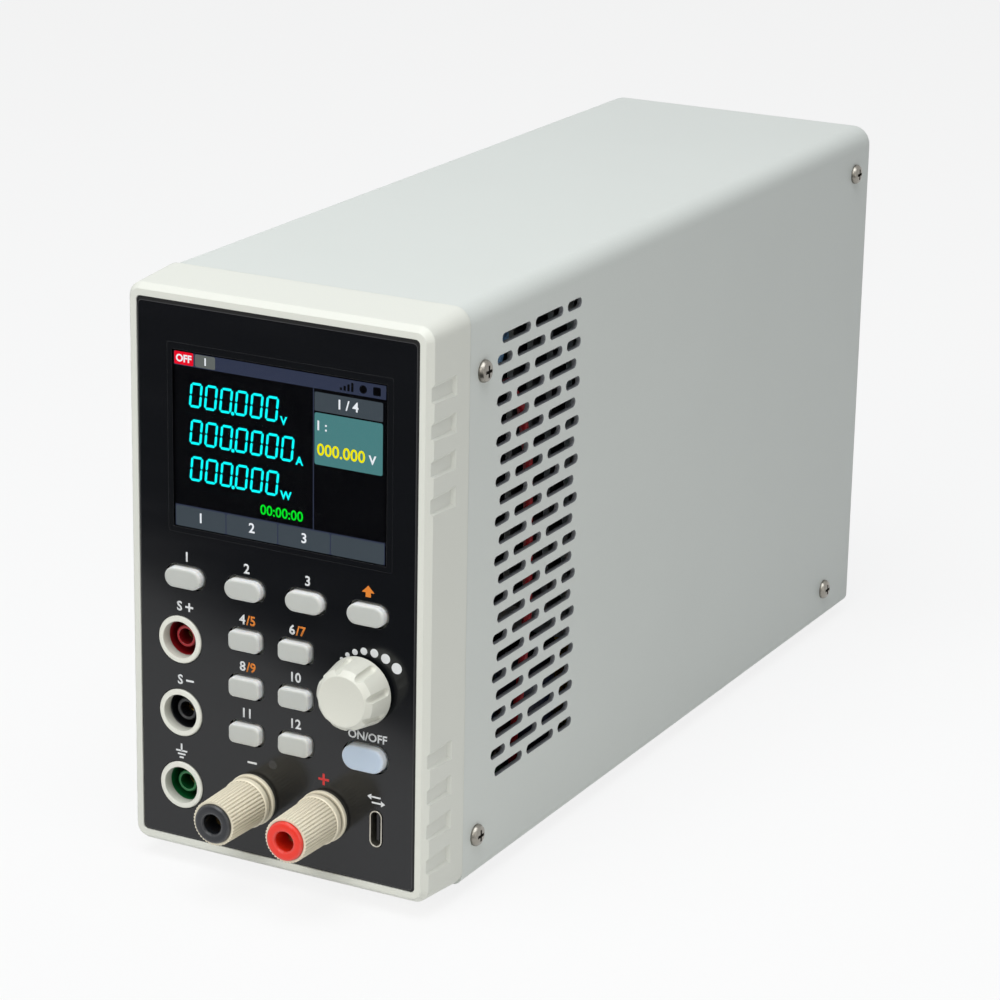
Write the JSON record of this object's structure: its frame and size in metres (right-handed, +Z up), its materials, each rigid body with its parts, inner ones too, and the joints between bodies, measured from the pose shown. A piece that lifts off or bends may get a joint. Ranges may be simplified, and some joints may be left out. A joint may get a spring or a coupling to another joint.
{
  "type": "dc electronic load",
  "caption": "Bench dc electronic load: moulded bezel with display, keys, knob, sense sockets and binding posts on a vented sheet metal case with a rear fan and mains inlet.",
  "frame": {"origin": "centre of the bounding box at the bottom of the feet", "axes": "+Z up, -Y out of the front panel, +X to the right seen from the front"},
  "size_m": [0.0856, 0.275, 0.1452],
  "materials": {
    "ivory_abs": "fine moulded ABS, warm off-white",
    "case_paint": "light grey powder coat with a fine texture",
    "panel_black": "black printed sheet, satin",
    "clear_window": "clear acrylic window",
    "display_glass": "lit colour display in a dark frame",
    "board_green": "green circuit board",
    "key_grey": "light grey silicone",
    "key_blue": "pale blue translucent silicone",
    "post_cream": "cream moulded plastic",
    "signal_red": "red plastic",
    "signal_black": "black plastic",
    "signal_green": "green plastic",
    "lead_blue": "blue wire insulation",
    "brass": "bright brass",
    "copper": "bare copper",
    "steel": "zinc plated steel",
    "aluminium": "extruded aluminium",
    "rubber": "black rubber",
    "black_plastic": "black moulded plastic",
    "capacitor_sleeve": "dark shrink sleeve",
    "ferrite": "ferrite core with a taped winding"
  },
  "bodies": {
    "housing": {"front_bezel": "ivory_abs", "front_panel": "panel_black", "display_window": "clear_window", "lcd_module": "display_glass", "front_board": "board_green", "key_mat": "key_grey", "encoder_body": "steel", "socket_collars": "ivory_abs", "sense_plus_sleeve": "signal_red", "sense_minus_sleeve": "signal_black", "earth_sleeve": "signal_green", "socket_contacts": "brass", "post_bases": "post_cream", "post_studs": "brass", "post_nuts": "brass", "bus_bars": "copper", "usb_shell": "steel", "usb_tongue": "black_plastic", "outer_cover": "case_paint", "bottom_chassis": "steel", "rear_panel": "case_paint", "cover_screws": "steel", "feet": "rubber", "heatsink": "aluminium", "power_transistors": "black_plastic", "power_board": "board_green", "spacers": "brass", "capacitors": "capacitor_sleeve", "transformer": "ferrite", "red_lead": "signal_red", "blue_lead": "lead_blue", "fan_frame": "black_plastic", "fan_guard": "steel", "machine_screws": "steel", "mains_inlet": "black_plastic", "inlet_pins": "brass", "switch_body": "black_plastic"},
    "key_f1": {"key_f1": "key_grey"},
    "key_f2": {"key_f2": "key_grey"},
    "key_f3": {"key_f3": "key_grey"},
    "key_shift": {"key_shift": "key_grey"},
    "key_current": {"key_current": "key_grey"},
    "key_voltage": {"key_voltage": "key_grey"},
    "key_trigger": {"key_trigger": "key_grey"},
    "key_short": {"key_short": "key_grey"},
    "key_escape": {"key_escape": "key_grey"},
    "key_enter": {"key_enter": "key_grey"},
    "key_load": {"key_load": "key_blue"},
    "encoder_rotor": {"encoder_rotor": "black_plastic"},
    "knob": {"knob": "ivory_abs", "encoder_shaft": "steel"},
    "negative_washer": {"negative_washer": "steel"},
    "negative_cap": {"negative_cap": "post_cream", "negative_insert": "signal_black"},
    "positive_washer": {"positive_washer": "steel"},
    "positive_cap": {"positive_cap": "post_cream", "positive_insert": "signal_red"},
    "fan_impeller": {"fan_impeller": "black_plastic"},
    "power_rocker": {"power_rocker": "black_plastic"},
    "fuse_drawer": {"fuse_drawer": "black_plastic"}
  },
  "joints": [
    {"name": "key_f1_press", "type": "slide", "parent": "housing", "child": "key_f1", "axis": [0, 1, 0], "range_m": [0, 0.001], "stiffness_N_per_m": 900},
    {"name": "key_f2_press", "type": "slide", "parent": "housing", "child": "key_f2", "axis": [0, 1, 0], "range_m": [0, 0.001], "stiffness_N_per_m": 900},
    {"name": "key_f3_press", "type": "slide", "parent": "housing", "child": "key_f3", "axis": [0, 1, 0], "range_m": [0, 0.001], "stiffness_N_per_m": 900},
    {"name": "key_shift_press", "type": "slide", "parent": "housing", "child": "key_shift", "axis": [0, 1, 0], "range_m": [0, 0.001], "stiffness_N_per_m": 900},
    {"name": "key_current_press", "type": "slide", "parent": "housing", "child": "key_current", "axis": [0, 1, 0], "range_m": [0, 0.001], "stiffness_N_per_m": 900},
    {"name": "key_voltage_press", "type": "slide", "parent": "housing", "child": "key_voltage", "axis": [0, 1, 0], "range_m": [0, 0.001], "stiffness_N_per_m": 900},
    {"name": "key_trigger_press", "type": "slide", "parent": "housing", "child": "key_trigger", "axis": [0, 1, 0], "range_m": [0, 0.001], "stiffness_N_per_m": 900},
    {"name": "key_short_press", "type": "slide", "parent": "housing", "child": "key_short", "axis": [0, 1, 0], "range_m": [0, 0.001], "stiffness_N_per_m": 900},
    {"name": "key_escape_press", "type": "slide", "parent": "housing", "child": "key_escape", "axis": [0, 1, 0], "range_m": [0, 0.001], "stiffness_N_per_m": 900},
    {"name": "key_enter_press", "type": "slide", "parent": "housing", "child": "key_enter", "axis": [0, 1, 0], "range_m": [0, 0.001], "stiffness_N_per_m": 900},
    {"name": "key_load_press", "type": "slide", "parent": "housing", "child": "key_load", "axis": [0, 1, 0], "range_m": [0, 0.001], "stiffness_N_per_m": 900},
    {"name": "knob_turn", "type": "hinge", "parent": "housing", "child": "encoder_rotor", "pos_m": [0.0234, -0.11976, 0.05515], "axis": [0, 1, 0], "continuous": true},
    {"name": "knob_push", "type": "slide", "parent": "encoder_rotor", "child": "knob", "axis": [0, 1, 0], "range_m": [0, 0.0005], "stiffness_N_per_m": 6000},
    {"name": "negative_clamp_lift", "type": "slide", "parent": "housing", "child": "negative_washer", "axis": [0, -1, 0], "range_m": [0, 0.004]},
    {"name": "negative_cap_turn", "type": "hinge", "parent": "negative_washer", "child": "negative_cap", "pos_m": [-0.0068, -0.11976, 0.0211], "axis": [0, -1, 0], "range_deg": [0, 1440]},
    {"name": "positive_clamp_lift", "type": "slide", "parent": "housing", "child": "positive_washer", "axis": [0, -1, 0], "range_m": [0, 0.004]},
    {"name": "positive_cap_turn", "type": "hinge", "parent": "positive_washer", "child": "positive_cap", "pos_m": [0.013, -0.11976, 0.0211], "axis": [0, -1, 0], "range_deg": [0, 1440]},
    {"name": "fan_spin", "type": "hinge", "parent": "housing", "child": "fan_impeller", "pos_m": [0, 0.13225, 0.101], "axis": [0, 1, 0], "continuous": true},
    {"name": "power_switch", "type": "hinge", "parent": "housing", "child": "power_rocker", "pos_m": [0.026, 0.13284, 0.033], "axis": [1, 0, 0], "range_deg": [-24, 0]},
    {"name": "fuse_drawer_slide", "type": "slide", "parent": "housing", "child": "fuse_drawer", "axis": [0, 1, 0], "range_m": [0, 0.02]}
  ],
  "couplings": [
    {"joint": "negative_cap_turn", "follows": "negative_clamp_lift", "rad_per_m": 6283},
    {"joint": "positive_cap_turn", "follows": "positive_clamp_lift", "rad_per_m": 6283}
  ]
}
